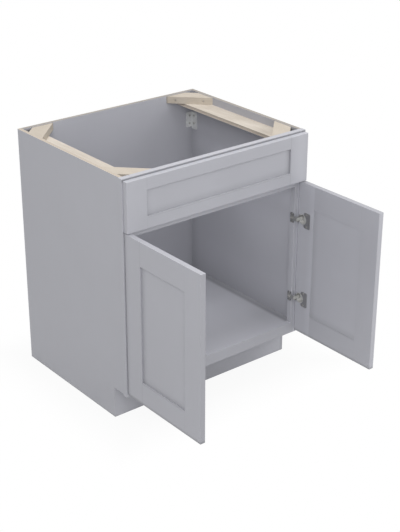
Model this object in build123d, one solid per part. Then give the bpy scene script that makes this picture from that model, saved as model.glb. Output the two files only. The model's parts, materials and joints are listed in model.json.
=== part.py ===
from build123d import *
import math
import os

# Framed sink base cabinet, two doors on concealed single-pivot hinges, millimetres.
# +X is the right side seen from the front, -Y is the front, +Z is up.
# The origin is at the floor, in the middle of the back, and the doors stand open by rest_opening.

# Carcass
frame_width = 762.0
cabinet_depth = 609.6
cabinet_height = 876.3
frame_overhang = 3.2
ply_thickness = 12.7
toe_height = 114.3
toe_setback = 76.2
dado_depth = 6.0
dado_clearance = 0.05
floor_drop = 0.4
edge_round = 0.6

# Face frame
frame_thickness = 19.05
frame_stile_width = 38.1
top_rail_width = 38.1
mid_rail_width = 38.1
bottom_rail_width = 40.6
frame_foot_drop = 2.5
frame_round = 1.0

# Braces and corner blocks under the open top
brace_width = 72.0
brace_drop = 27.4
brace_thickness = 12.7
block_thickness = 25.4
block_leg = 120.65
block_clip = 38.1
block_screw_inset = 24.0
block_screw_radius = 2.1
block_screw_bite = 7.0
block_screw_head_radius = 3.1
block_screw_head_height = 2.2
block_counterbore_radius = 3.6
block_counterbore_depth = 4.5

# Five-piece fronts: a flat panel in a grooved frame
front_thickness = 19.05
side_reveal = 4.2
top_reveal = 6.0
front_round = 1.6
front_recess = 6.0
door_top_rail_width = 84.0
door_bottom_rail_width = 81.5
drawer_rail_width = 42.0
front_stile_width = 78.0
field_thickness = 11.5
groove_depth = 10.0
groove_clearance = 0.05
field_float = 1.5
false_front_height = 170.85
fronts_gap = 2.2
door_meeting_gap = 2.6
door_foot_reveal = 8.6
fixing_screw_spread = 200.0
mid_rail_cover = 16.0
fixing_screw_radius = 2.0
fixing_screw_bite = 10.0

# Hinge, placed by its pin
door_gap = 4.0
pin_inset = 9.45
pin_depth = 9.1
rest_opening = 90.0
hinge_end_distance = 136.0
pin_radius = 1.5
pin_end_clearance = 0.4
pin_chamfer = 0.3
pin_running_clearance = 0.05
pin_seat_clearance = 0.01
cup_radius = 17.5
cup_depth = 13.6
cup_wall = 0.8
cup_foot_round = 1.2
cup_edge_distance = 5.2
cup_bore_clearance = 0.05
flange_thickness = 1.2
flange_height = 57.0
flange_near = 30.0
flange_far = 59.5
flange_corner = 5.0
flange_rim = 1.6
cup_screw_spacing = 45.0
cup_screw_setback = 20.0
cup_screw_radius = 1.8
cup_screw_length = 13.0
cup_screw_head_radius = 3.6
cup_screw_head_height = 1.2
spring_thickness = 0.8
spring_half_width = 4.0
spring_corner = 1.8
spring_start = 21.0
spring_end = 3.4
arm_thickness = 2.0
arm_bend_radius = 1.4
arm_boss_radius = 2.6
arm_side_clearance = 0.45
arm_leaf_height = 25.0
arm_housing_height = 21.0
arm_ramp_start = 10.2
arm_leaf_start = 13.8
arm_leaf_end = 19.0
arm_housing_start = 1.0
arm_housing_end = 16.0
plate_thickness = 1.6
plate_height = 36.0
plate_setback = 0.4
plate_depth = 18.0
plate_corner = 4.0
plate_screw_spacing = 28.8
plate_screw_radius = 1.7
plate_screw_length = 15.0
plate_screw_head_radius = 2.8
plate_screw_head_height = 1.5
adjuster_radius = 3.3
adjuster_height = 1.4
adjuster_stem_radius = 1.6
adjuster_setback = 5.0
adjuster_spacing = 7.2
fastener_clearance = 0.05
head_round_share = 0.45
tip_share = 0.6
cross_share = 1.1
cross_width = 1.0
cross_depth = 0.7

# Corner brackets of bent sheet
bracket_leaf = 30.0
bracket_height = 58.0
bracket_thickness = 2.0
bracket_corner = 6.0
bracket_drop = 41.2
bracket_wing_drop = 8.0
bracket_screw_inset = 14.0
bracket_screw_spacing = 30.0
bracket_screw_radius = 1.9
bracket_screw_length = 11.0
bracket_screw_head_radius = 3.8
bracket_screw_head_height = 1.8

# Places that follow from the sizes
half_frame = frame_width / 2
side_outer = half_frame - frame_overhang
side_inner = side_outer - ply_thickness
frame_front = -cabinet_depth
frame_back = frame_front + frame_thickness
toe_front = frame_front + toe_setback
back_inner = -ply_thickness
opening_edge = half_frame - frame_stile_width
frame_foot = toe_height - frame_foot_drop
floor_top = frame_foot + bottom_rail_width - floor_drop
floor_bottom = floor_top - ply_thickness
brace_top = cabinet_height - brace_drop
brace_bottom = brace_top - brace_thickness
bracket_middle = brace_bottom - bracket_drop - bracket_height / 2
false_front_bottom = cabinet_height - top_reveal - false_front_height
door_bottom = toe_height + door_foot_reveal
door_top = false_front_bottom - fronts_gap
door_height = door_top - door_bottom
door_outer = half_frame - side_reveal
door_width = door_outer - door_meeting_gap / 2
mid_rail_top = false_front_bottom + mid_rail_cover
pin_x = door_outer - pin_inset
pin_y = frame_front - door_gap - pin_depth
hinge_heights = {"upper": door_top - hinge_end_distance, "lower": door_bottom + hinge_end_distance}
cup_centre = pin_inset - cup_edge_distance - cup_radius
stile_edge = opening_edge - pin_x
frame_plane = frame_front - pin_y
cup_hollow_radius = cup_radius - cup_wall
leg_inner = stile_edge - plate_thickness
leg_outer = leg_inner - arm_thickness
near = 0.01


def span(x0, x1, y0, y1, z0, z1):
    centre = Pos((x0 + x1) / 2, (y0 + y1) / 2, (z0 + z1) / 2)
    return centre * Box(abs(x1 - x0), abs(y1 - y0), abs(z1 - z0))


def eased(x0, x1, y0, y1, z0, z1, open_sides, radius):
    # Rounds the edges between the sides named: left, right, front, back, bottom, top.
    board = span(x0, x1, y0, y1, z0, z1)
    chosen = []
    for edge in board.edges():
        middle = edge.center()
        gaps = {
            "left": middle.X - x0,
            "right": middle.X - x1,
            "front": middle.Y - y0,
            "back": middle.Y - y1,
            "bottom": middle.Z - z0,
            "top": middle.Z - z1,
        }
        sides = [side for side, gap in gaps.items() if abs(gap) < near]
        if len(sides) == 2 and set(sides) <= set(open_sides):
            chosen.append(edge)
    return fillet(chosen, radius)


def rod(start, direction, radius, length):
    # A cylinder from start along direction.
    plane = Plane(origin=start, z_dir=direction)
    return plane * Cylinder(radius, length, align=(Align.CENTER, Align.CENTER, Align.MIN))


def screw(seat, direction, head_radius, head_height, radius, length):
    # The head stands back from the seat, the shank runs into the wood along direction.
    back = tuple(-part for part in direction)
    head = rod(seat, back, head_radius, head_height)
    head = fillet(head.edges().sort_by_distance(Vector(*seat))[-1], head_height * head_round_share)
    shank = rod(seat, direction, radius, length)
    shank = chamfer(shank.edges().sort_by_distance(Vector(*seat))[-1], radius * tip_share)
    crown = Vector(*seat) + Vector(*back) * head_height
    plane = Plane(origin=crown, z_dir=direction)
    cross = Box(head_radius * cross_share, cross_width, 2 * cross_depth)
    cross += Box(cross_width, head_radius * cross_share, 2 * cross_depth)
    return head + shank - plane * cross


def group(pieces):
    return Compound(children=list(pieces))


def mirrored(shape):
    return mirror(shape, about=Plane.YZ)


# Carcass boards

def side_panel():
    outline = Polyline(
        (0, 0),
        (toe_front, 0),
        (toe_front, toe_height),
        (frame_back, toe_height),
        (frame_back, cabinet_height),
        (0, cabinet_height),
        close=True,
    )
    profile = Plane(origin=(side_inner, 0, 0), x_dir=(0, 1, 0), z_dir=(1, 0, 0)) * make_face(outline)
    board = extrude(profile, ply_thickness)
    corner = board.edges().filter_by(Axis.Z).group_by(Axis.X)[-1].group_by(Axis.Y)[-1]
    board = fillet(corner, edge_round)
    dado = span(side_inner - near, side_inner + dado_depth + dado_clearance, frame_back - near, back_inner,
                floor_bottom - dado_clearance, floor_top + dado_clearance)
    return board - dado


def back_panel():
    return span(-side_inner, side_inner, back_inner, 0, 0, cabinet_height)


def floor_panel():
    reach = side_inner + dado_depth
    return span(-reach, reach, frame_back, back_inner, floor_bottom, floor_top)


def toe_board():
    return span(-side_inner, side_inner, toe_front, toe_front + ply_thickness, 0, floor_bottom)


def brace():
    inner = side_inner - brace_width
    return span(inner, side_inner, frame_back, back_inner, brace_bottom, brace_top)


def corner_block(wall, towards_back):
    # A board with its ends cut at 45 degrees, across the corner of side panel and wall.
    sign = 1 if towards_back else -1
    outline = Polyline(
        (side_inner - block_clip, wall),
        (side_inner - block_leg, wall),
        (side_inner, wall - sign * block_leg),
        (side_inner, wall - sign * block_clip),
        close=True,
    )
    block = Pos(0, 0, brace_top) * extrude(make_face(outline), block_thickness, dir=(0, 0, 1))
    return block


def block_screw_places(wall, towards_back):
    # Two screws square to the long face, one into the wall and one into the side panel.
    sign = 1 if towards_back else -1
    height = brace_top + block_thickness / 2
    diagonal = 1 / math.sqrt(2)
    into = (diagonal, sign * diagonal, 0)
    places = []
    for along in (block_screw_inset, block_leg - block_screw_inset):
        x = side_inner - block_leg + along
        y = wall - sign * along
        depth = min(side_inner - x, abs(wall - y)) / diagonal
        seat = (x + into[0] * block_counterbore_depth, y + into[1] * block_counterbore_depth, height)
        mouth = (x, y, height)
        places.append((mouth, seat, into, depth - block_counterbore_depth + block_screw_bite))
    return places


# Face frame

def frame_stile():
    return eased(opening_edge, half_frame, frame_front, frame_back, frame_foot, cabinet_height,
                 ("left", "right", "front", "bottom", "top"), frame_round)


def frame_rail(bottom, top, open_sides):
    return eased(-opening_edge, opening_edge, frame_front, frame_back, bottom, top,
                 open_sides, frame_round)


# Five-piece fronts, drawn with the left edge at x = 0, the foot at z = 0 and the back at y = 0

def shaker_front(width, height, bottom_rail, top_rail):
    # A frame cut into stiles and rails. Its window is rounded at the front and square at the back.
    window_left = front_stile_width
    window_right = width - front_stile_width
    window_top = height - top_rail
    frame = span(0, width, -front_thickness, 0, 0, height)
    frame -= span(window_left, window_right, -2 * front_thickness, front_thickness, bottom_rail, window_top)
    middle = Vector(width / 2, 0, height / 2)
    corners = frame.edges().filter_by(Axis.Y).sort_by_distance(middle)
    window_rims = frame.faces().sort_by(Axis.Y)[-1].inner_wires().edges()
    frame = fillet(frame.edges() - corners[:4] - window_rims, front_round)

    field_front = -(front_thickness - front_recess)
    field_back = field_front + field_thickness
    tongue_left = window_left - groove_depth
    tongue_right = window_right + groove_depth
    tongue_foot = bottom_rail - groove_depth
    tongue_top = window_top + groove_depth
    slot_front = field_front - groove_clearance
    slot_back = field_back + groove_clearance

    # Each rail keeps a tongue as thick as the panel in the stiles' grooves.
    stile_slots = span(tongue_left, window_left + near, slot_front, slot_back, -near, height + near)
    stile_slots += span(window_right - near, tongue_right, slot_front, slot_back, -near, height + near)
    rail_slots = span(tongue_left - near, tongue_right + near, slot_front, slot_back, tongue_foot, tongue_top)
    between = span(window_left, window_right, -front_thickness, 0, 0, height)
    stiles = (frame - between - stile_slots).solids().sort_by(Axis.X)
    rails = ((frame & between) - rail_slots).solids().sort_by(Axis.Z)
    tongues = []
    for foot, head in ((0, bottom_rail), (window_top, height)):
        tongues.append(span(tongue_left, tongue_right, field_front, field_back, foot, head) - rail_slots)
    field = span(tongue_left + field_float, tongue_right - field_float, field_front, field_back,
                 tongue_foot, tongue_top - field_float)
    return {"left_stile": stiles[0], "right_stile": stiles[1], "bottom_rail": rails[0] + tongues[0],
            "top_rail": rails[1] + tongues[1], "panel": field}


# Hinge pieces, drawn for the right door when closed, with the pin on the Z axis

def hinge_cup():
    mouth = pin_depth
    shell = rod((cup_centre, mouth, 0), (0, -1, 0), cup_radius, cup_depth)
    foot = shell.edges().sort_by(Axis.Y)[0]
    shell = fillet(foot, cup_foot_round)
    flange_x0 = pin_inset - flange_far
    flange_x1 = pin_inset - flange_near
    sheet = span(flange_x0, flange_x1, mouth, mouth + flange_thickness, -flange_height / 2, flange_height / 2)
    sheet = fillet(sheet.edges().filter_by(Axis.Y), flange_corner)
    collar = rod((cup_centre, mouth, 0), (0, 1, 0), cup_radius + flange_rim, flange_thickness)
    cup = shell + sheet + collar
    cup -= rod((cup_centre, mouth + 2 * flange_thickness, 0), (0, -1, 0), cup_hollow_radius,
               cup_depth - cup_wall + 2 * flange_thickness)
    cup -= rod((0, 0, -cup_radius), (0, 0, 1), pin_radius + pin_seat_clearance, 2 * cup_radius)
    for x, z in cup_screw_places():
        cup -= rod((x, mouth + 2 * flange_thickness, z), (0, -1, 0),
                   cup_screw_radius + fastener_clearance, 4 * flange_thickness)
    return cup


def cup_screw_places():
    x = cup_centre - cup_screw_setback
    return [(x, cup_screw_spacing / 2), (x, -cup_screw_spacing / 2)]


def cup_screws():
    seat = pin_depth + flange_thickness
    return [screw((x, seat, z), (0, -1, 0), cup_screw_head_radius, cup_screw_head_height,
                  cup_screw_radius, cup_screw_length) for x, z in cup_screw_places()]


def cup_recess():
    # What the cup and its screws take out of the door's hinge stile.
    hole = rod((cup_centre, pin_depth + near, 0), (0, -1, 0), cup_radius + cup_bore_clearance,
               cup_depth + cup_bore_clearance + near)
    for x, z in cup_screw_places():
        hole += rod((x, pin_depth + near, z), (0, -1, 0), cup_screw_radius + fastener_clearance,
                    cup_screw_length + near)
    return hole


def half_chord(radius, x):
    # Half the height of a circle round the cup's axis, at x from the pin.
    return math.sqrt(radius ** 2 - (x - cup_centre) ** 2)


def hinge_pin():
    length = 2 * (half_chord(cup_radius, pin_radius) - pin_end_clearance)
    pin = Cylinder(pin_radius, length)
    return chamfer(pin.edges().filter_by(GeomType.CIRCLE), pin_chamfer)


def hinge_spring():
    # A leaf on the floor of the cup, turned up at its far end.
    floor = pin_depth - cup_depth + cup_wall
    leaf = span(-spring_start, -spring_end, floor, floor + spring_thickness,
                -spring_half_width, spring_half_width)
    ends = leaf.edges().filter_by(Axis.Y)
    return fillet(ends, spring_corner)


def hinge_arm():
    # A bent strip: boss round the pin, leaf inside the cup, leg out of its mouth, housing on the stile.
    leaf_front = -arm_boss_radius
    leaf_back = leaf_front + arm_thickness
    leg_end = frame_plane + arm_housing_end
    half = arm_housing_height / 2
    strip = span(leg_outer, 0, leaf_front, leaf_back, -half, half)
    strip += span(leg_outer, leg_inner, leaf_front, leg_end, -half, half)
    corner = strip.edges().filter_by(Axis.Z).sort_by_distance(Vector(leg_outer, leaf_front, 0))[0]
    strip = fillet(corner, arm_bend_radius + arm_thickness)
    crook = strip.edges().filter_by(Axis.Z).sort_by_distance(Vector(leg_inner, leaf_back, 0))[0]
    strip = fillet(crook, arm_bend_radius)

    # Side outline of the leaf, seen square to the door's face.
    boss_half = half_chord(cup_hollow_radius, arm_boss_radius) - arm_side_clearance
    leaf_half = arm_leaf_height / 2
    neck_half = half_chord(cup_hollow_radius, leg_outer) - arm_side_clearance
    upper = [
        (0, boss_half),
        (-arm_ramp_start, boss_half),
        (-arm_leaf_start, leaf_half),
        (-arm_leaf_end, leaf_half),
        (leg_inner, neck_half),
        (leg_outer - near, neck_half),
    ]
    lower = [(x, -z) for x, z in reversed(upper)]
    leaf_face = Plane(origin=(0, leaf_front - near, 0), x_dir=(1, 0, 0), z_dir=(0, -1, 0))
    neck_end = pin_depth + flange_thickness + arm_side_clearance
    leaf_shape = extrude(leaf_face * make_face(Polyline(*upper, *lower, close=True)),
                         leaf_front - neck_end)

    # Side outline of the leg, from the neck out to the housing.
    outer = [
        (neck_end - 2 * near, neck_half),
        (frame_plane + arm_housing_start, half),
        (leg_end, half),
    ]
    inner = [(y, -z) for y, z in reversed(outer)]
    leg_face = Plane(origin=(leg_outer - near, 0, 0), x_dir=(0, 1, 0), z_dir=(1, 0, 0))
    leg_shape = extrude(leg_face * make_face(Polyline(*outer, *inner, close=True)),
                        arm_thickness + 2 * near)
    arm = strip & (leaf_shape + leg_shape)
    arm += Cylinder(arm_boss_radius, 2 * boss_half)
    arm -= Cylinder(pin_radius + pin_running_clearance, 4 * boss_half)
    for y in adjuster_places():
        arm -= rod((leg_outer - near, y, 0), (1, 0, 0), adjuster_stem_radius + fastener_clearance,
                   2 * arm_thickness)
    return arm


def adjuster_places():
    first = frame_plane + adjuster_setback
    return [first, first + adjuster_spacing]


def adjusters():
    return [screw((leg_outer, y, 0), (1, 0, 0), adjuster_radius, adjuster_height,
                  adjuster_stem_radius, arm_thickness) for y in adjuster_places()]


def frame_plate():
    y0 = frame_plane + plate_setback
    plate = span(stile_edge - plate_thickness, stile_edge, y0, y0 + plate_depth,
                 -plate_height / 2, plate_height / 2)
    plate = fillet(plate.edges().filter_by(Axis.X), plate_corner)
    for y, z in plate_screw_places():
        plate -= rod((stile_edge + near, y, z), (-1, 0, 0), plate_screw_radius + fastener_clearance,
                     2 * plate_thickness)
    return plate


def plate_screw_places():
    y = frame_plane + plate_depth / 2
    return [(y, plate_screw_spacing / 2), (y, -plate_screw_spacing / 2)]


def plate_screws():
    return [screw((stile_edge - plate_thickness, y, z), (1, 0, 0), plate_screw_head_radius,
                  plate_screw_head_height, plate_screw_radius, plate_screw_length)
            for y, z in plate_screw_places()]


def plate_screw_holes():
    holes = [rod((stile_edge - near, y, z), (1, 0, 0), plate_screw_radius + fastener_clearance,
                 plate_screw_length) for y, z in plate_screw_places()]
    return holes[0] + holes[1]


# Corner brackets

def corner_bracket():
    x1 = side_inner
    y1 = back_inner
    z0 = bracket_middle - bracket_height / 2
    z1 = z0 + bracket_height
    leaf = span(x1 - bracket_leaf, x1, y1 - bracket_thickness, y1, z0, z1)
    leaf = fillet(leaf.edges().filter_by(Axis.Y).group_by(Axis.X)[0], bracket_corner)
    wing = span(x1 - bracket_thickness, x1, y1 - bracket_leaf, y1, z0 - bracket_wing_drop, z1)
    wing = fillet(wing.edges().filter_by(Axis.X).group_by(Axis.Y)[0], bracket_corner)
    bracket = leaf + wing
    inside = Vector(x1 - bracket_thickness, y1 - bracket_thickness, bracket_middle)
    crook = bracket.edges().filter_by(Axis.Z).sort_by_distance(inside)[0]
    bracket = fillet(crook, bracket_thickness)
    for seat, direction in bracket_screw_places():
        back = tuple(-part for part in direction)
        start = Vector(*seat) + Vector(*direction) * bracket_thickness
        bracket -= rod(tuple(start), back, bracket_screw_radius + fastener_clearance, 2 * bracket_thickness)
    return bracket


def bracket_screw_places():
    places = []
    for offset in (bracket_screw_spacing / 2, -bracket_screw_spacing / 2):
        height = bracket_middle + offset
        on_back = (side_inner - bracket_screw_inset, back_inner - bracket_thickness, height)
        on_side = (side_inner - bracket_thickness, back_inner - bracket_screw_inset, height)
        places.append((on_back, (0, 1, 0)))
        places.append((on_side, (1, 0, 0)))
    return places


def bracket_screws():
    return [screw(seat, direction, bracket_screw_head_radius, bracket_screw_head_height,
                  bracket_screw_radius, bracket_screw_length) for seat, direction in bracket_screw_places()]


def bracket_screw_holes():
    holes = None
    for seat, direction in bracket_screw_places():
        hole = rod(seat, direction, bracket_screw_radius + fastener_clearance, bracket_screw_length)
        holes = hole if holes is None else holes + hole
    return holes


# Screws that hold the false front, through the rails of the face frame

def fixing_screw_places():
    heights = (cabinet_height - top_rail_width / 2, false_front_bottom + mid_rail_cover / 2)
    return [(x, frame_back, z) for x in (-fixing_screw_spread, fixing_screw_spread) for z in heights]


def fixing_screws():
    return [screw(place, (0, -1, 0), block_screw_head_radius, block_screw_head_height,
                  fixing_screw_radius, frame_thickness + fixing_screw_bite) for place in fixing_screw_places()]


def fixing_screw_holes():
    holes = None
    for place in fixing_screw_places():
        hole = rod(place, (0, -1, 0), fixing_screw_radius + fastener_clearance,
                   frame_thickness + fixing_screw_bite)
        holes = hole if holes is None else holes + hole
    return holes


# Assembly

nodes = {}

# Right half, then the same mirrored for the left
right_side = side_panel()
back = back_panel()
top_rail = frame_rail(cabinet_height - top_rail_width, cabinet_height, ("front", "top", "bottom"))
mid_rail = frame_rail(mid_rail_top - mid_rail_width, mid_rail_top, ("front", "top", "bottom"))
bottom_rail = frame_rail(frame_foot, frame_foot + bottom_rail_width, ("front", "top", "bottom"))
stile = frame_stile()
block_screws = []
blocks = {}
for name, wall, towards_back in (("back", back_inner, True), ("front", frame_back, False)):
    block = corner_block(wall, towards_back)
    for mouth, seat, into, length in block_screw_places(wall, towards_back):
        hole = rod(seat, into, block_screw_radius + fastener_clearance, length)
        counterbore = rod(mouth, into, block_counterbore_radius, block_counterbore_depth)
        mouth_clear = rod(mouth, tuple(-part for part in into), block_counterbore_radius, block_counterbore_radius)
        block -= hole + counterbore + mouth_clear
        right_side -= hole
        back -= hole
        back -= mirrored(hole)
        top_rail -= hole
        top_rail -= mirrored(hole)
        stile -= hole
        piece = screw(seat, into, block_screw_head_radius, block_screw_head_height, block_screw_radius, length)
        block_screws += [piece, mirrored(piece)]
    blocks[name] = block

bracket = corner_bracket()
holes = bracket_screw_holes()
right_side -= holes
back -= holes
back -= mirrored(holes)

door = shaker_front(door_width, door_height, door_bottom_rail_width, door_top_rail_width)
door_place = Pos(door_outer - door_width, frame_front - door_gap, door_bottom)
door = {name: door_place * piece for name, piece in door.items()}
hinge = {"cup": hinge_cup(), "arm": hinge_arm(), "frame_plate": frame_plate()}
pin = hinge_pin()
spring = hinge_spring()
cup_hole = cup_recess()
plate_holes = plate_screw_holes()
pin_axis = Axis((pin_x, pin_y, 0), (0, 0, 1))
door_pieces = {"hinge_pins": [], "hinge_springs": [], "cup_screws": []}
frame_pieces = {"plate_screws": [], "adjusters": []}
fixed_hinge = {}
swung_hinge = {}
for level, height in hinge_heights.items():
    place = Pos(pin_x, pin_y, height)
    door["right_stile"] -= place * cup_hole
    stile -= place * plate_holes
    swung_hinge[level] = place * hinge["cup"]
    fixed_hinge[level + "_hinge_arm"] = place * hinge["arm"]
    fixed_hinge[level + "_hinge_frame_plate"] = place * hinge["frame_plate"]
    door_pieces["hinge_pins"].append(place * pin)
    door_pieces["hinge_springs"].append(place * spring)
    door_pieces["cup_screws"] += [place * piece for piece in cup_screws()]
    frame_pieces["plate_screws"] += [place * piece for piece in plate_screws()]
    frame_pieces["adjusters"] += [place * piece for piece in adjusters()]

# The right door in its place, swung open about the pins
door_nodes = {
    "door_hinge_stile": door["right_stile"],
    "door_meeting_stile": door["left_stile"],
    "door_top_rail": door["top_rail"],
    "door_bottom_rail": door["bottom_rail"],
    "door_panel": door["panel"],
    "upper_hinge_cup": swung_hinge["upper"],
    "lower_hinge_cup": swung_hinge["lower"],
    "hinge_pins": group(door_pieces["hinge_pins"]),
    "hinge_springs": group(door_pieces["hinge_springs"]),
    "hinge_cup_screws": group(door_pieces["cup_screws"]),
}
for name, piece in door_nodes.items():
    opened = piece.rotate(pin_axis, rest_opening)
    nodes["right_" + name] = opened
    nodes["left_" + name] = mirrored(opened)

for name, piece in fixed_hinge.items():
    nodes["right_" + name] = piece
    nodes["left_" + name] = mirrored(piece)

paired = {
    "side_panel": right_side,
    "brace": brace(),
    "back_corner_block": blocks["back"],
    "front_corner_block": blocks["front"],
    "frame_stile": stile,
    "back_bracket": bracket,
}
for name, piece in paired.items():
    nodes["right_" + name] = piece
    nodes["left_" + name] = mirrored(piece)

front_place = Pos(-door_outer, frame_front, false_front_bottom)
front = shaker_front(2 * door_outer, false_front_height, drawer_rail_width, drawer_rail_width)
fixing_holes = fixing_screw_holes()
for name, piece in front.items():
    nodes["false_front_" + name] = front_place * piece
nodes["false_front_top_rail"] -= fixing_holes
nodes["false_front_bottom_rail"] -= fixing_holes
top_rail -= fixing_holes
mid_rail -= fixing_holes

nodes["back_panel"] = back
nodes["floor_panel"] = floor_panel()
nodes["toe_board"] = toe_board()
nodes["frame_top_rail"] = top_rail
nodes["frame_mid_rail"] = mid_rail
nodes["frame_bottom_rail"] = bottom_rail
nodes["false_front_screws"] = group(fixing_screws())
nodes["corner_block_screws"] = group(block_screws)
bracket_fixings = bracket_screws()
nodes["bracket_screws"] = group(bracket_fixings + [mirrored(piece) for piece in bracket_fixings])
for name, pieces in frame_pieces.items():
    nodes["hinge_" + name] = group(pieces + [mirrored(piece) for piece in pieces])

os.makedirs("parts", exist_ok=True)
for name, shape in nodes.items():
    export_step(shape, "parts/" + name + ".step")
    print(name, len(shape.solids()), round(sum(solid.volume for solid in shape.solids())))
print(len(nodes), "nodes")
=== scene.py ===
import json
import math
import bpy
from mathutils import Matrix, Vector

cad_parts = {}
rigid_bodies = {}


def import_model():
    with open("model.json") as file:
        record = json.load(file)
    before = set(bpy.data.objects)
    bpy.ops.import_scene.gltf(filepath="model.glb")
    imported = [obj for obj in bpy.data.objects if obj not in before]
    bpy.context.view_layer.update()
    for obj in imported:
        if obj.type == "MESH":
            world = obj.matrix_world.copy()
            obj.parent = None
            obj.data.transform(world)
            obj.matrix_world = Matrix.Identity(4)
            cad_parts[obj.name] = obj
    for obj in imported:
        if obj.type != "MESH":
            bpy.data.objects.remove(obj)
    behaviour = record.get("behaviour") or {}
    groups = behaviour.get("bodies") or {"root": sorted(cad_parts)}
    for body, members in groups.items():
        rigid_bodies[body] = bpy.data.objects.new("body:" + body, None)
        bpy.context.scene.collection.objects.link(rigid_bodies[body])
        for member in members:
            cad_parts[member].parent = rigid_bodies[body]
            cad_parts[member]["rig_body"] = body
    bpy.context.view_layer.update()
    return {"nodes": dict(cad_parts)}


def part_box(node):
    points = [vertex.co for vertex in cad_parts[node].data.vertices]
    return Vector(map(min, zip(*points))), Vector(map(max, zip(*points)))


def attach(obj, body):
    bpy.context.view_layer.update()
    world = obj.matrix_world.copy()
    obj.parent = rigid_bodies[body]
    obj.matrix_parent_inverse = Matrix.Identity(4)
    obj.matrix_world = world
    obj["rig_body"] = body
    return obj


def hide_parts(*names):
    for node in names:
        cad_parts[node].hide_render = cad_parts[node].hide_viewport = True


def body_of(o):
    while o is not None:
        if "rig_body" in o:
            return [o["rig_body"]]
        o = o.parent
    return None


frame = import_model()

nodes = frame["nodes"]
sides = ("right", "left")
print("frame loaded:", len(nodes), "nodes")


# Shader maths: a socket that adds its own Math nodes
class Value:
    def __init__(self, graph, socket):
        self.graph = graph
        self.socket = socket

    def maths(self, operation, *others):
        values = dict(enumerate((self, *others)))
        return self.graph.node("ShaderNodeMath", {"operation": operation}, values)

    def __add__(self, other):
        return self.maths("ADD", other)

    def __sub__(self, other):
        return self.maths("SUBTRACT", other)

    def __mul__(self, other):
        return self.maths("MULTIPLY", other)

    def __truediv__(self, other):
        return self.maths("DIVIDE", other)

    def __rsub__(self, other):
        return self * -1 + other

    def __abs__(self):
        return self.maths("ABSOLUTE")

    __radd__ = __add__
    __rmul__ = __mul__


# The nodes of a material or of the world, on Object coordinates in metres
class Graph:
    def __init__(self, owner):
        self.owner = owner
        owner.use_nodes = True
        self.tree = owner.node_tree
        self.tree.nodes.clear()
        self.place = self.node("ShaderNodeTexCoord", out="Object")
        split = self.node("ShaderNodeSeparateXYZ", values={"Vector": self.place}).socket.node
        self.x, self.y, self.z = (Value(self, socket) for socket in split.outputs)

    def node(self, kind, settings=None, values=None, out=0):
        made = self.tree.nodes.new(kind)
        for key, item in (settings or {}).items():
            setattr(made, key, item)
        for key, item in (values or {}).items():
            if isinstance(item, Value):
                self.tree.links.new(item.socket, made.inputs[key])
            elif item is not None:
                made.inputs[key].default_value = item
        return Value(self, made.outputs[out] if made.outputs else None)

    def point(self, x, y, z):
        return self.node("ShaderNodeCombineXYZ", values={"X": x, "Y": y, "Z": z})

    # The place, drawn out along a board's run and packed closely across it
    def stretched(self, run, across, along):
        scale = tuple(along if axis == run else across for axis in "xyz")
        return self.times(scale)

    def times(self, scale):
        return self.node("ShaderNodeVectorMath", {"operation": "MULTIPLY"}, {0: self.place, 1: scale})

    def noise(self, vector, scale=1.0, detail=3.0, roughness=0.5, distortion=0.0):
        return self.node("ShaderNodeTexNoise", values={
            "Vector": vector, "Scale": scale, "Detail": detail,
            "Roughness": roughness, "Distortion": distortion})

    # A value from 0 to 1 made to run from -0.5 to 0.5, so that a noise adds nothing on the whole
    def swing(self, value):
        return value - 0.5

    def between(self, value, low, high, start=0.0, end=1.0):
        return self.node("ShaderNodeMapRange", {"interpolation_type": "SMOOTHSTEP"}, {
            "Value": value, "From Min": low, "From Max": high, "To Min": start, "To Max": end})

    def mix(self, factor, a, b):
        a, b = ((*item, 1.0) if isinstance(item, tuple) else item for item in (a, b))
        return self.node("ShaderNodeMix", {"data_type": "RGBA"}, {0: factor, 6: a, 7: b}, out=2)

    def scaled(self, colour, share):
        return self.node("ShaderNodeVectorMath", {"operation": "SCALE"}, {0: colour, "Scale": share})

    # 1 at a place along an axis, falling to 0 at the reach
    def near(self, axis, place, reach):
        return self.between(abs(getattr(self, axis) - place), 0, reach, 1, 0)

    # How far a point is from the middle of a board, along an axis
    def offMiddle(self, name, axis):
        return abs(getattr(self, axis) - middleOf(name, axis))

    def bump(self, height, distance, strength, normal=None):
        return self.node("ShaderNodeBump", values={
            "Height": height, "Distance": distance, "Strength": strength, "Normal": normal})

    def shine(self, colour, roughness, normal, metallic=0.0):
        shader = self.node("ShaderNodeBsdfPrincipled", values={
            "Base Color": colour, "Roughness": roughness, "Normal": normal, "Metallic": metallic})
        self.node("ShaderNodeOutputMaterial", values={"Surface": shader})
        return self.owner

    # 1 where the camera, a reflection or a clear part looks straight at this surface
    def seen(self):
        path = self.node("ShaderNodeLightPath").socket.node
        kinds = ("Camera", "Glossy", "Transmission")
        rays = [Value(self, path.outputs["Is " + kind + " Ray"]) for kind in kinds]
        return sum(rays, 0.0).maths("MINIMUM", 1.0)


def surface(name):
    return Graph(bpy.data.materials.new(name))


def dress(name, material):
    mesh = nodes[name].data
    mesh.materials.clear()
    mesh.materials.append(material)


def tint(colour, share):
    return tuple(part * share for part in colour)


# A board's faces along an axis, its middle and half its thickness there
def lowOf(name, axis):
    return getattr(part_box(name)[0], axis)


def highOf(name, axis):
    return getattr(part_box(name)[1], axis)


def middleOf(name, axis):
    return (lowOf(name, axis) + highOf(name, axis)) / 2


def halfOf(name, axis):
    return (highOf(name, axis) - lowOf(name, axis)) / 2


# How near a point is to an edge of a board: 1 on the edge, 0 from width inwards
def edgeOf(graph, name, width):
    first, second, third = (graph.offMiddle(name, axis) - halfOf(name, axis) for axis in "xyz")
    inner = first.maths("MINIMUM", second)
    outer = first.maths("MAXIMUM", second).maths("MINIMUM", third)
    return graph.between(inner.maths("MAXIMUM", outer), -width, 0)


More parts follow.
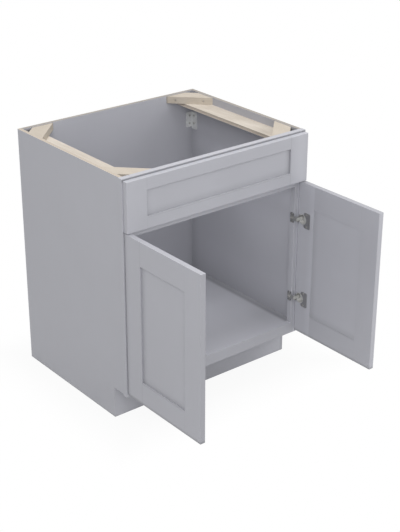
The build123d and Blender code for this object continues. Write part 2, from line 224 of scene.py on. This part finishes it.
# Painted light and shade that a surface's colour takes on where boards meet and at their rims. Lost is
# the share of light painted away there, and is below 0 where light is painted on. Each axis gives a
# place and its reach, in metres.
paintedShading = {name: [] for name in nodes}


def shade(name, lost, **places):
    paintedShading[name].append((lost, places))


def withPaintedShading(graph, name, colour):
    for lost, places in paintedShading[name]:
        share = 1
        for axis, (place, reach) in places.items():
            share = graph.near(axis, place, reach) * share
        colour = graph.scaled(colour, 1 - share * lost)
    return colour


# Fronts: painted shade on the panel's four rims, deepest beside the stile that stands in the light's
# way, and painted light under the head rail
fronts = {
    "false_front": {"run": "x", "first": ("left_stile", 0.04), "last": ("right_stile", 0.16)},
    "right_door": {"run": "y", "first": ("meeting_stile", 0.02), "last": ("hinge_stile", 0.11)},
    "left_door": {"run": "y", "first": ("meeting_stile", 0.02), "last": ("hinge_stile", 0.13)},
}
rims = {
    "foot": {"lost": 0.11, "reach": 0.028},
    "footRail": {"lost": 0.13, "reach": 0.009},
    "head": {"lost": -0.08, "reach": 0.004},
    "headRail": {"lost": -0.08, "reach": 0.003},
    "besideStile": 0.028,
    "onStile": 0.004,
}
for front, make in fronts.items():
    foot = highOf(front + "_bottom_rail", "z")
    head = lowOf(front + "_top_rail", "z")
    places = {
        "foot": (front + "_panel", foot),
        "head": (front + "_panel", head),
        "footRail": (front + "_bottom_rail", foot),
        "headRail": (front + "_top_rail", head),
    }
    for rim, (name, height) in places.items():
        shade(name, rims[rim]["lost"], z=(height, rims[rim]["reach"]))
    for rimOf, (stile, lost) in ((highOf, make["first"]), (lowOf, make["last"])):
        rim = rimOf(front + "_" + stile, make["run"])
        shade(front + "_panel", lost, **{make["run"]: (rim, rims["besideStile"])})
        shade(front + "_" + stile, lost, **{make["run"]: (rim, rims["onStile"])})

# Painted shade at the foot of the doors and side panels and at the right door's top, and painted shadow
# in the dark gaps round the false front
skin = 0.0004  # keeps a tone on one face of a board
onFrame = (lowOf("frame_mid_rail", "y"), skin)
aboveFronts = (highOf("false_front_top_rail", "z"), 0.010)
belowFalseFront = (lowOf("false_front_bottom_rail", "z"), 0.004)
shade("frame_top_rail", 0.45, y=onFrame, z=aboveFronts)
for side in sides:
    shade(side + "_frame_stile", 0.45, y=onFrame, z=aboveFronts)
    shade(side + "_frame_stile", 0.40, y=onFrame, z=belowFalseFront)
    shade(side + "_side_panel", 0.24, z=(0.0, 0.007))
    for piece in ("hinge_stile", "meeting_stile", "bottom_rail"):
        shade(side + "_door_" + piece, 0.34, z=(lowOf(side + "_door_bottom_rail", "z"), 0.013))
for name in ("right_door_hinge_stile", "right_door_meeting_stile", "right_door_top_rail"):
    shade(name, 0.13, z=(highOf(name, "z"), 0.0035))

# Painted shade and painted light at the doors' ends, painted light on the right door's front, and
# painted light and shade at single places
doorEnds = (
    {"name": "left_door_hinge_stile", "end": highOf, "lost": 0.16, "reach": 0.016},
    {"name": "left_door_meeting_stile", "end": lowOf, "lost": 0.12, "reach": 0.0015},
    {"name": "right_door_hinge_stile", "end": highOf, "lost": -0.35, "reach": 0.003},
    {"name": "right_door_hinge_stile", "end": lowOf, "lost": -0.08, "reach": 0.040},
    {"name": "right_door_meeting_stile", "end": lowOf, "lost": -0.10, "reach": 0.0015},
)
for row in doorEnds:
    shade(row["name"], row["lost"], y=(row["end"](row["name"], "y"), row["reach"]))
shade("right_door_hinge_stile", -0.06, x=(lowOf("right_door_hinge_stile", "x"), skin))
shade("right_door_panel", -0.045, x=(lowOf("right_door_panel", "x"), skin))
shade("right_frame_stile", -0.45, y=onFrame, x=(0.3590, 0.004))  # painted light on the strip beside the open door
shade("false_front_right_stile", -0.09, x=(0.345, 0.050))  # painted light on its outer edge
# painted shade along the floor
shade("toe_board", 0.15, z=(0.0, 0.005))
shade("toe_board", -0.20, x=(0.25, 0.26))  # painted light, lighter to the right

# Painted light and shade inside the carcass
wallFace = lowOf("right_side_panel", "x")
backFace = lowOf("back_panel", "y")
wall = (wallFace, skin)
inside = {
    "right_side_panel": (
        {"lost": -0.28, "x": wall, "y": (-0.38, 0.28), "z": (0.54, 0.26)},  # painted light, lighter towards the front
        {"lost": -0.25, "x": wall, "z": (0.64, 0.09)},
        {"lost": 0.26, "x": wall, "y": (-0.06, 0.16), "z": (0.63, 0.09)},
        {"lost": 0.05, "x": wall, "z": (0.40, 0.22)},
        {"lost": 0.12, "x": wall, "z": (highOf("floor_panel", "z"), 0.14)},  # painted shade at its foot
        {"lost": 0.10, "x": wall, "y": (backFace, 0.06)},  # painted shade in the corner with the back
        {"lost": 0.13, "x": wall, "z": (0.863, 0.05)},  # painted shade above the brace
        {"lost": 0.12, "x": wall, "y": (-0.475, 0.08), "z": (0.863, 0.03)},  # painted shade beside the front block
    ),
    "right_brace": (
        {"lost": 0.15, "y": (-0.485, 0.065)},  # painted shade beside the front block
    ),
    "back_panel": (
        {"lost": 0.10, "x": (wallFace, 0.03)},
        {"lost": 0.08, "x": (wallFace, 0.05), "z": (0.70, 0.10)},
    ),
    "floor_panel": (
        {"lost": 0.28, "x": (wallFace, 0.034)},  # a painted shadow, a dark strip along the wall
        {"lost": 0.30, "x": (wallFace - 0.020, 0.018)},
        {"lost": 0.10, "y": (-0.51, 0.12)},
        {"lost": 0.06, "y": (-0.49, 0.10), "x": (0.30, 0.06)},
        {"lost": -0.05, "y": (-0.33, 0.08)},
    ),
}
for name, rows in inside.items():
    for row in rows:
        shade(name, **row)

# Painted shade: the pockets behind the corner blocks lose most of their light
pocket = {
    "lost": 0.7,
    "height": (0.862, 0.010),  # a place and its reach, as the next
    "front": (-0.562, 0.030),
    "back": 0.343,
    "backReach": 0.025,
}
for side, sign in (("right", 1), ("left", -1)):
    backPlace = (sign * pocket["back"], pocket["backReach"])
    sideFace = (sign * wallFace, skin)
    shade("back_panel", pocket["lost"], x=backPlace, y=(backFace, skin), z=pocket["height"])
    shade(side + "_side_panel", pocket["lost"], x=sideFace, y=pocket["front"], z=pocket["height"])

# Satin grey paint over wood, sprayed
paint = {
    "colour": (0.446, 0.449, 0.488),
    "worn": (0.56, 0.565, 0.60),
    "variation": 0.035,
    "roughness": 0.42,
    "cloud": {"scale": 5.0, "roughness": 0.55},
    "cloudTint": 1.4,
    "cloudRough": 0.16,
    "grain": {"across": 380.0, "along": 8.0},
    "grainTint": 0.7,
    "grainDepth": 0.00003,
    "grainBump": 0.6,
    "peel": {"scale": 700.0, "detail": 2.0},
    "peelTint": 0.3,
    "peelRough": 0.12,
    "peelDepth": 0.00003,
    "peelBump": 0.5,
    "edgeWidth": 0.0014,
    "rub": {"scale": 45.0, "detail": 4.0, "roughness": 0.6},
    "rubFrom": 0.35,
    "rubTo": 0.7,
    "rubTint": 0.35,
    "rubRough": 0.08,
    "seamWidth": 0.0004,
    "seamShade": 0.74,
    "seamDepth": 0.0002,
    "seamBump": 0.7,
    "tongue": 0.010,  # how far a rail's tongues run on past its seams
}


def paintLayer(graph, name, run, grain):
    cloud = graph.noise(graph.place, **paint["cloud"])
    fine = graph.noise(graph.stretched(run, **paint["grain"]), roughness=0.6)
    peel = graph.noise(graph.place, **paint["peel"])
    shift = graph.swing(cloud) * paint["cloudTint"] + graph.swing(fine) * paint["grainTint"] * grain
    shift = shift + graph.swing(peel) * paint["peelTint"] + 0.5
    dark = tint(paint["colour"], 1 - paint["variation"])
    pale = tint(paint["colour"], 1 + paint["variation"])
    # Paler worn edges in patches, which are also a painted highlight along the rims
    rubbedAndSheen = graph.between(graph.noise(graph.place, **paint["rub"]), paint["rubFrom"], paint["rubTo"])
    rub = edgeOf(graph, name, paint["edgeWidth"]) * rubbedAndSheen
    colour = graph.mix(rub * paint["rubTint"], graph.mix(shift, dark, pale), paint["worn"])
    rough = graph.swing(cloud) * paint["cloudRough"] + graph.swing(peel) * paint["peelRough"]
    rough = rough + paint["roughness"] - rub * paint["rubRough"]
    normal = graph.bump(peel, paint["peelDepth"], paint["peelBump"])
    normal = graph.bump(fine, paint["grainDepth"] * grain, paint["grainBump"], normal)
    return withPaintedShading(graph, name, colour), rough, normal


def paintedBoard(name, run, grain=1.0):
    graph = surface("satinPaint." + name)
    dress(name, graph.shine(*paintLayer(graph, name, run, grain)))


# A rail has a hairline where it meets the stiles
def paintedRail(name, run, tongue):
    graph = surface("satinPaint." + name)
    colour, rough, normal = paintLayer(graph, name, run, 1.0)
    reach = halfOf(name, run) - tongue
    seam = graph.between(abs(graph.offMiddle(name, run) - reach), 0, paint["seamWidth"], 1, 0)
    colour = graph.mix(seam, colour, tint(paint["colour"], paint["seamShade"]))
    normal = graph.bump(seam * -1, paint["seamDepth"], paint["seamBump"], normal)
    dress(name, graph.shine(colour, rough, normal))


for name in ("false_front_left_stile", "false_front_right_stile"):
    paintedBoard(name, "z")
for level in ("top", "bottom"):
    paintedRail("false_front_" + level + "_rail", "x", paint["tongue"])
for level in ("top", "mid", "bottom"):
    paintedRail("frame_" + level + "_rail", "x", 0.0)
paintedBoard("false_front_panel", "x", grain=0.5)
paintedBoard("toe_board", "x", grain=0.6)
paintedBoard("floor_panel", "x", grain=0.5)
for side in sides:
    for piece in ("frame_stile", "door_hinge_stile", "door_meeting_stile"):
        paintedBoard(side + "_" + piece, "z")
    for level in ("top", "bottom"):
        paintedRail(side + "_door_" + level + "_rail", "y", paint["tongue"])
    paintedBoard(side + "_door_panel", "z", grain=0.5)
print("painted boards finished")


# The cut edge of plywood: seven plies with thin glue lines
cutEdge = {
    "plies": 7,
    "long": (0.60, 0.537, 0.46),
    "longDark": 0.82,
    "streak": {"across": 2600.0, "along": 60.0},
    "streakFrom": 0.3,
    "streakTo": 0.75,
    "cross": (0.50, 0.425, 0.345),
    "crossPale": 1.12,
    "crossDark": 0.8,
    "fleck": {"scale": 1500.0, "detail": 2.0, "roughness": 0.7},
    "fleckFrom": 0.35,
    "fleckTo": 0.7,
    "wander": {"across": 60.0, "along": 12.0},
    "wanderShare": 0.035,
    "glue": (0.25, 0.18, 0.13),
    "glueFrom": 0.43,
    "glueShare": 0.7,
    "relief": {"streak": 0.4, "fleck": 0.4, "glue": 0.5, "cross": 0.3},
    "dust": (0.27, 0.255, 0.24),
    "roughness": 0.75,
    "depth": 0.00012,
    "bump": 0.8,
}


# Depth goes from 0 to 1 through the board
def cutPly(graph, depth, run):
    wander = graph.noise(graph.stretched(run, **cutEdge["wander"]), detail=2.0)
    level = (depth + graph.swing(wander) * cutEdge["wanderShare"]) * cutEdge["plies"]
    within = level.maths("FRACT")
    crossed = level.maths("FLOOR").maths("MODULO", 2.0)
    streak = graph.noise(graph.stretched(run, **cutEdge["streak"]), roughness=0.6)
    fleck = graph.noise(graph.place, **cutEdge["fleck"])
    streaked = graph.between(streak, cutEdge["streakFrom"], cutEdge["streakTo"])
    flecked = graph.between(fleck, cutEdge["fleckFrom"], cutEdge["fleckTo"])
    longPly = graph.mix(streaked, cutEdge["long"], tint(cutEdge["long"], cutEdge["longDark"]))
    pale, dark = (tint(cutEdge["cross"], cutEdge[key]) for key in ("crossPale", "crossDark"))
    crossPly = graph.mix(flecked, pale, dark)
    glue = graph.between(abs(graph.swing(within)), cutEdge["glueFrom"], 0.5) * cutEdge["glueShare"]
    colour = graph.mix(glue, graph.mix(crossed, longPly, crossPly), cutEdge["glue"])
    relief = cutEdge["relief"]
    height = streak * relief["streak"] + fleck * relief["fleck"]
    height = height - glue * relief["glue"] - crossed * relief["cross"]
    return colour, height


# Carcass panels: painted faces and toe notch, plies on the top, the foot and the rear edges
panels = {
    "left_side_panel": {"thin": "x", "run": "y", "dust": 0.0, "rawRear": True},
    "right_side_panel": {"thin": "x", "run": "y", "dust": 0.72, "rawRear": True},
    "back_panel": {"thin": "y", "run": "x", "dust": 0.72, "rawRear": False},
}
for name, panel in panels.items():
    graph = surface("plyPanel." + name)
    colour, rough, normal = paintLayer(graph, name, "z", 0.6)
    thin = panel["thin"]
    half = halfOf(name, thin)
    depth = (getattr(graph, thin) - lowOf(name, thin)) / (half * 2)
    cut, height = cutPly(graph, depth, panel["run"])
    # the cut edges of the right and back panels are darkened towards grey, the left panel's are not
    cut = graph.mix(panel["dust"], cut, cutEdge["dust"])
    core = graph.between(graph.offMiddle(name, thin), half - skin, half - skin / 2, 1, 0)
    ends = graph.between(graph.offMiddle(name, "z"), halfOf(name, "z") - skin, halfOf(name, "z"))
    if panel["rawRear"]:
        rear = highOf(name, "y")
        ends = ends.maths("MAXIMUM", graph.between(graph.y, rear - skin, rear))
    raw = core * ends
    rough = raw * (cutEdge["roughness"] - rough) + rough
    normal = graph.bump(height * raw, cutEdge["depth"], cutEdge["bump"], normal)
    dress(name, graph.shine(graph.mix(raw, colour, cut), rough, normal))
print("panels finished")


# A copy of a raw board, merged, with its sawn edges broken
sawn = {"merge": 0.00001, "flat": math.radians(1), "sharp": math.radians(35), "segments": 2}


def brokenEdges(name, piece, width):
    bpy.ops.object.select_all(action="DESELECT")
    source = nodes[name]
    copy = bpy.data.objects.new(piece, source.data.copy())
    bpy.context.scene.collection.objects.link(copy)
    copy.select_set(True)
    bpy.context.view_layer.objects.active = copy
    bpy.ops.mesh.customdata_custom_splitnormals_clear()
    bpy.ops.object.mode_set(mode="EDIT")
    bpy.ops.mesh.select_all(action="SELECT")
    bpy.ops.mesh.remove_doubles(threshold=sawn["merge"])
    bpy.ops.mesh.dissolve_limited(angle_limit=sawn["flat"])
    bpy.ops.object.mode_set(mode="OBJECT")
    bevel = copy.modifiers.new("broken", "BEVEL")
    bevel.width = width
    bevel.segments = sawn["segments"]
    bevel.limit_method = "ANGLE"
    bevel.angle_limit = sawn["sharp"]
    bpy.ops.object.modifier_apply(modifier=bevel.name)
    bpy.ops.object.shade_smooth_by_angle(angle=sawn["sharp"])
    flatten = copy.modifiers.new("flatten", "WEIGHTED_NORMAL")
    flatten.keep_sharp = True
    bpy.ops.object.modifier_apply(modifier=flatten.name)
    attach(copy, body_of(source)[0])
    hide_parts(name)
    return copy


def clothe(piece, material):
    piece.data.materials.clear()
    piece.data.materials.append(material)


# Rotary cut veneer: long soft figure with fine pores
veneer = {
    "pale": (0.635, 0.58, 0.512),
    "dark": (0.43, 0.37, 0.30),
    "bend": {"across": 14.0, "along": 2.2},
    "waves": 34.0,
    "figureShare": 0.30,
    "pores": {"across": 1500.0, "along": 30.0},
    "poresFrom": 0.40,
    "poresTo": 0.72,
    "poresShare": 0.45,
    "cloudScale": 9.0,
    "cloudShare": 0.5,
}


def facePly(graph, run):
    bend = graph.noise(graph.stretched(run, **veneer["bend"]), distortion=0.6)
    figure = (bend * veneer["waves"]).maths("SINE") * 0.5 + 0.5
    pores = graph.noise(graph.stretched(run, **veneer["pores"]), roughness=0.65)
    cloud = graph.noise(graph.place, veneer["cloudScale"])
    inPore = graph.between(pores, veneer["poresFrom"], veneer["poresTo"])
    factor = figure * veneer["figureShare"] + inPore * veneer["poresShare"]
    factor = factor + graph.swing(cloud) * veneer["cloudShare"]
    return graph.mix(factor, veneer["pale"], veneer["dark"]), pores


# Braces: plywood laid flat, veneer on top, plies on the long edges
brace = {
    "edge": 0.0004,
    "veneerDeep": 0.0008,
    "veneerThin": 0.0005,
    "footReach": 0.009,
    "footLight": 0.4,
    "edgeLight": 0.95,
    "poreRelief": 0.5,
    "poreRough": 0.2,
    "roughness": 0.6,
    "depth": 0.00015,
    "bump": 0.8,
}
for side in sides:
    name = side + "_brace"
    piece = brokenEdges(name, side + "BraceBoard", brace["edge"])
    graph = surface("rawPly." + name)
    face, pores = facePly(graph, "y")
    half = halfOf(name, "z")
    foot = lowOf(name, "z")
    cut, height = cutPly(graph, (graph.z - foot) / (half * 2), "y")
    # Painted light: the cut edge is lighter towards its foot and a little darker above
    light = graph.near("z", foot, brace["footReach"]) * brace["footLight"] + brace["edgeLight"]
    cut = graph.scaled(cut, light)
    veneerFrom, veneerTo = half - brace["veneerDeep"], half - brace["veneerThin"]
    onFace = graph.between(graph.offMiddle(name, "z"), veneerFrom, veneerTo)
    colour = withPaintedShading(graph, name, graph.mix(onFace, cut, face))
    relief = onFace * pores * brace["poreRelief"] + (1 - onFace) * height
    rough = pores * brace["poreRough"] + brace["roughness"]
    normal = graph.bump(relief, brace["depth"], brace["bump"])
    clothe(piece, graph.shine(colour, rough, normal))

# Corner blocks: sawn softwood, the grain along the slant
block = {
    "edge": 0.0007,
    "early": (0.56, 0.503, 0.43),
    "late": (0.34, 0.285, 0.22),
    "lateFrom": 0.35,
    "lateTo": 0.95,
    "lateShare": 0.40,
    "rings": 430.0,
    "ringAcross": 0.8,
    "ringUp": 0.45,
    "ringWave": 0.012,
    "wave": (5.0, 22.0),  # along and across the grain, as the two below
    "fibre": (25.0, 1400.0),
    "saw": (900.0, 15.0),
    "fibreShare": 0.9,
    "cloudScale": 16.0,
    "cloudShare": 0.6,
    "darker": 0.08,
    "relief": {"fibre": 0.6, "saw": 0.5, "late": 0.2},
    "fibreRough": 0.2,
    "roughness": 0.62,
    "depth": 0.00014,
    "bump": 0.7,
    "backLost": 0.45,  # painted shade at the end that stands against the back panel
    "backReach": 0.006,
}
for side, sideSign in (("right", 1), ("left", -1)):
    for level, levelSign in (("back", -1), ("front", 1)):
        name = side + "_" + level + "_corner_block"
        shade(name, block["backLost"], y=(backFace, block["backReach"]))
        piece = brokenEdges(name, side + level.capitalize() + "CornerBlock", block["edge"])
        graph = surface("sawnWood." + name)
        tilt = sideSign * levelSign
        along = (graph.x + graph.y * tilt) * math.sqrt(0.5)
        across = (graph.x * tilt - graph.y) * math.sqrt(0.5)
        grains = {}
        for key, look in (("wave", {}), ("fibre", {"roughness": 0.6}), ("saw", {"detail": 1.0})):
            coarse, fine = block[key]
            grains[key] = graph.noise(graph.point(along * coarse, across * fine, graph.z * fine), **look)
        fibre, saw = grains["fibre"], grains["saw"]
        ring = across * block["ringAcross"] + graph.z * block["ringUp"]
        ring = ring + grains["wave"] * block["ringWave"]
        late = graph.between((ring * block["rings"]).maths("FRACT"), block["lateFrom"], block["lateTo"])
        cloud = graph.noise(graph.place, block["cloudScale"])
        factor = late * block["lateShare"] + graph.swing(fibre) * block["fibreShare"]
        factor = factor + graph.swing(cloud) * block["cloudShare"] + block["darker"]
        colour = withPaintedShading(graph, name, graph.mix(factor, block["early"], block["late"]))
        relief = block["relief"]
        height = fibre * relief["fibre"] + saw * relief["saw"] - late * relief["late"]
        rough = fibre * block["fibreRough"] + block["roughness"]
        normal = graph.bump(height, block["depth"], block["bump"])
        clothe(piece, graph.shine(colour, rough, normal))
print("raw wood finished")


# Metals: grain is how close the brush lines lie along x, y and z
# The cup's flange, the frame plate and the arm are darker than the bowl and web: painted shade on one
# plated steel
metals = {
    "cup_steel": {
        "colour": (0.29, 0.29, 0.30), "roughness": 0.38, "metallic": 0.5,
        "grain": (500.0, 500.0, 30.0)},
    "plate_steel": {
        "colour": (0.24, 0.24, 0.25), "roughness": 0.40, "metallic": 0.6,
        "grain": (40.0, 500.0, 500.0)},
    "arm_steel": {
        "colour": (0.33, 0.33, 0.33), "roughness": 0.32, "metallic": 0.45,
        "grain": (40.0, 40.0, 900.0)},
    "pin_steel": {
        "colour": (0.66, 0.66, 0.66), "roughness": 0.25, "metallic": 0.8,
        "grain": (900.0, 900.0, 60.0)},
    "spring_steel": {
        "colour": (0.60, 0.60, 0.61), "roughness": 0.32, "metallic": 0.8,
        "grain": (60.0, 900.0, 900.0)},
    "screw_steel": {
        "colour": (0.50, 0.49, 0.47), "roughness": 0.34, "metallic": 1.0,
        "grain": (700.0, 700.0, 700.0)},
    "bracket_zinc": {
        "colour": (0.74, 0.75, 0.75), "roughness": 0.42, "metallic": 0.45,
        "grain": (300.0, 300.0, 60.0)},
}
plating = {
    "stain": {"scale": 120.0, "roughness": 0.6},
    "brushTint": 0.5,
    "stainTint": 0.8,
    "tint": 0.24,
    "darkest": 0.86,
    "brushRough": 0.12,
    "stainRough": 0.2,
    "depth": 0.00002,
    "bump": 0.6,
}
bowl = {"colour": (0.60, 0.60, 0.59), "radius": 0.0191, "inside": 0.0003, "outside": 0.0002}
web = {"colour": (0.74, 0.74, 0.72), "run": (0.3410, 0.3440), "rise": (0.0040, 0.0075)}
crystals = {"scale": 260.0, "tint": 0.14, "darkest": 0.92, "share": 0.5}


# How far a point is above or below the nearer hinge's middle
def riseFromHinge(graph):
    upper, lower = (middleOf("right_" + level + "_hinge_cup", "z") for level in ("upper", "lower"))
    return abs(graph.z - (upper + lower) / 2) - (upper - lower) / 2


# Painted light: the bowl of a hinge cup and its rim are drawn brighter than the flange
def bowlPaintedLight(graph, base):
    rise = riseFromHinge(graph)
    run = graph.y - (highOf("right_upper_hinge_cup", "y") - bowl["radius"])
    fromAxis = (rise * rise + run * run).maths("SQRT")
    inner = bowl["radius"] - bowl["inside"]
    outer = bowl["radius"] + bowl["outside"]
    return graph.mix(graph.between(fromAxis, inner, outer, 1, 0), base, bowl["colour"])


# Painted light also on the middle of a hinge arm where it reaches over the stile
def webPaintedLight(graph, base):
    rise = abs(riseFromHinge(graph))
    onWeb = graph.between(abs(graph.x), *web["run"]) * graph.between(rise, *web["rise"], 1, 0)
    return graph.mix(onWeb, base, web["colour"])


def metal(name):
    look = metals[name]
    graph = surface("plated." + name)
    brush = graph.noise(graph.times(look["grain"]), roughness=0.6)
    stain = graph.noise(graph.place, **plating["stain"])
    base = look["colour"]
    if name == "cup_steel":
        base = bowlPaintedLight(graph, base)
    if name == "arm_steel":
        base = webPaintedLight(graph, base)
    mottle = graph.swing(brush) * plating["brushTint"] + graph.swing(stain) * plating["stainTint"] + 0.5
    share = mottle * plating["tint"] + plating["darkest"]
    if name == "bracket_zinc":
        values = {"Vector": graph.place, "Scale": crystals["scale"]}
        cells = graph.node("ShaderNodeTexVoronoi", values=values, out="Color")
        flake = graph.node("ShaderNodeSeparateXYZ", values={"Vector": cells})
        share = share * (flake * crystals["tint"] + crystals["darkest"])
        brush = brush * (1 - crystals["share"]) + flake * crystals["share"]
    rough = graph.swing(stain) * plating["stainRough"] + graph.swing(brush) * plating["brushRough"]
    normal = graph.bump(brush, plating["depth"], plating["bump"])
    return graph.shine(graph.scaled(base, share), rough + look["roughness"], normal, look["metallic"])


finishes = {name: metal(name) for name in metals}
for side in sides:
    for level in ("upper", "lower"):
        dress(side + "_" + level + "_hinge_cup", finishes["cup_steel"])
        dress(side + "_" + level + "_hinge_frame_plate", finishes["plate_steel"])
        dress(side + "_" + level + "_hinge_arm", finishes["arm_steel"])
    dress(side + "_hinge_pins", finishes["pin_steel"])
    dress(side + "_hinge_springs", finishes["spring_steel"])
    dress(side + "_hinge_cup_screws", finishes["screw_steel"])
    dress(side + "_back_bracket", finishes["bracket_zinc"])
for name in ("false_front_screws", "corner_block_screws", "bracket_screws", "hinge_plate_screws"):
    dress(name, finishes["screw_steel"])
dress("hinge_adjusters", finishes["screw_steel"])
print("metals finished")


# Stage: pale floor that shows white, soft light all round
stage = {
    "floor": (0.64, 0.64, 0.64, 1.0),
    "width": 14,
    "below": 0.0005,
    "whiteNear": 0.93,
    "shadowReach": 0.22,
    "ambient": 0.495,
}
bpy.ops.mesh.primitive_plane_add(size=stage["width"], location=(0, 0, -stage["below"]))
floor = bpy.context.object
floor.name = "studioFloor"
graph = surface("studioFloor")
matt = graph.node("ShaderNodeBsdfDiffuse", values={"Color": stage["floor"]})
glow = graph.node("ShaderNodeEmission", values={"Strength": 1.0})
depth = highOf("back_panel", "y") - lowOf("frame_mid_rail", "y")
beside = abs(graph.x) - highOf("back_panel", "x")
away = beside.maths("MAXIMUM", abs(graph.y + depth / 2) - depth / 2)
white = graph.between(away, 0, stage["shadowReach"], stage["whiteNear"], 1)
blend = graph.node("ShaderNodeMixShader", values={0: graph.seen() * white, 1: matt, 2: glow})
graph.node("ShaderNodeOutputMaterial", values={"Surface": blend})
floor.data.materials.append(graph.owner)

bpy.context.scene.world = bpy.data.worlds.new("studio")
graph = Graph(bpy.context.scene.world)
strength = graph.seen() * (1 - stage["ambient"]) + stage["ambient"]
sky = graph.node("ShaderNodeBackground", values={"Color": (1.0, 1.0, 1.0, 1.0), "Strength": strength})
graph.node("ShaderNodeOutputWorld", values={"Surface": sky})

lamps = {
    "overhead": {"place": (0.1, -0.3, 3.1), "size": 2.2, "power": 34.5},
    "frontLeft": {"place": (-2.4, -3.8, 2.0), "size": 2.4, "power": 22.3},
    "leftHigh": {"place": (-2.2, -2.6, 3.2), "size": 2.2, "power": 44.6},
    "rightFill": {"place": (1.5, -2.2, 1.4), "size": 1.2, "power": 10.2},
}
aim = Vector((0.0, -0.4, 0.45))
for name, lamp in lamps.items():
    light = bpy.data.lights.new(name, "AREA")
    light.size = lamp["size"]
    light.energy = lamp["power"]
    holder = bpy.data.objects.new(name, light)
    bpy.context.scene.collection.objects.link(holder)
    holder.location = lamp["place"]
    holder.rotation_euler = (Vector(lamp["place"]) - aim).to_track_quat("Z", "Y").to_euler()
print("stage and lamps set")

# Camera, solved from the photograph's edges
view = {
    "place": (-2.3380, -3.4207, 2.1809),
    "pitch": 24.337,
    "yaw": -38.741,
    "roll": 0.110,
    "lens": 81.866,
    "shift": (0.0031, -0.0255),
}
pitch, yaw, roll = (math.radians(view[key]) for key in ("pitch", "yaw", "roll"))
forward = Vector((-math.sin(yaw) * math.cos(pitch), math.cos(yaw) * math.cos(pitch), -math.sin(pitch)))
sideways = Vector((math.cos(yaw), math.sin(yaw), 0))
upright = sideways.cross(forward)
across = sideways * math.cos(roll) + upright * math.sin(roll)
up = upright * math.cos(roll) - sideways * math.sin(roll)
lens = bpy.data.cameras.new("photograph")
lens.lens = view["lens"]
lens.shift_x, lens.shift_y = view["shift"]
eye = bpy.data.objects.new("photograph", lens)
bpy.context.scene.collection.objects.link(eye)
turn = Matrix((across, up, -forward)).transposed().to_4x4()
eye.matrix_world = Matrix.Translation(view["place"]) @ turn
bpy.context.scene.camera = eye
bpy.context.scene.view_settings.view_transform = "Standard"
print("camera set")
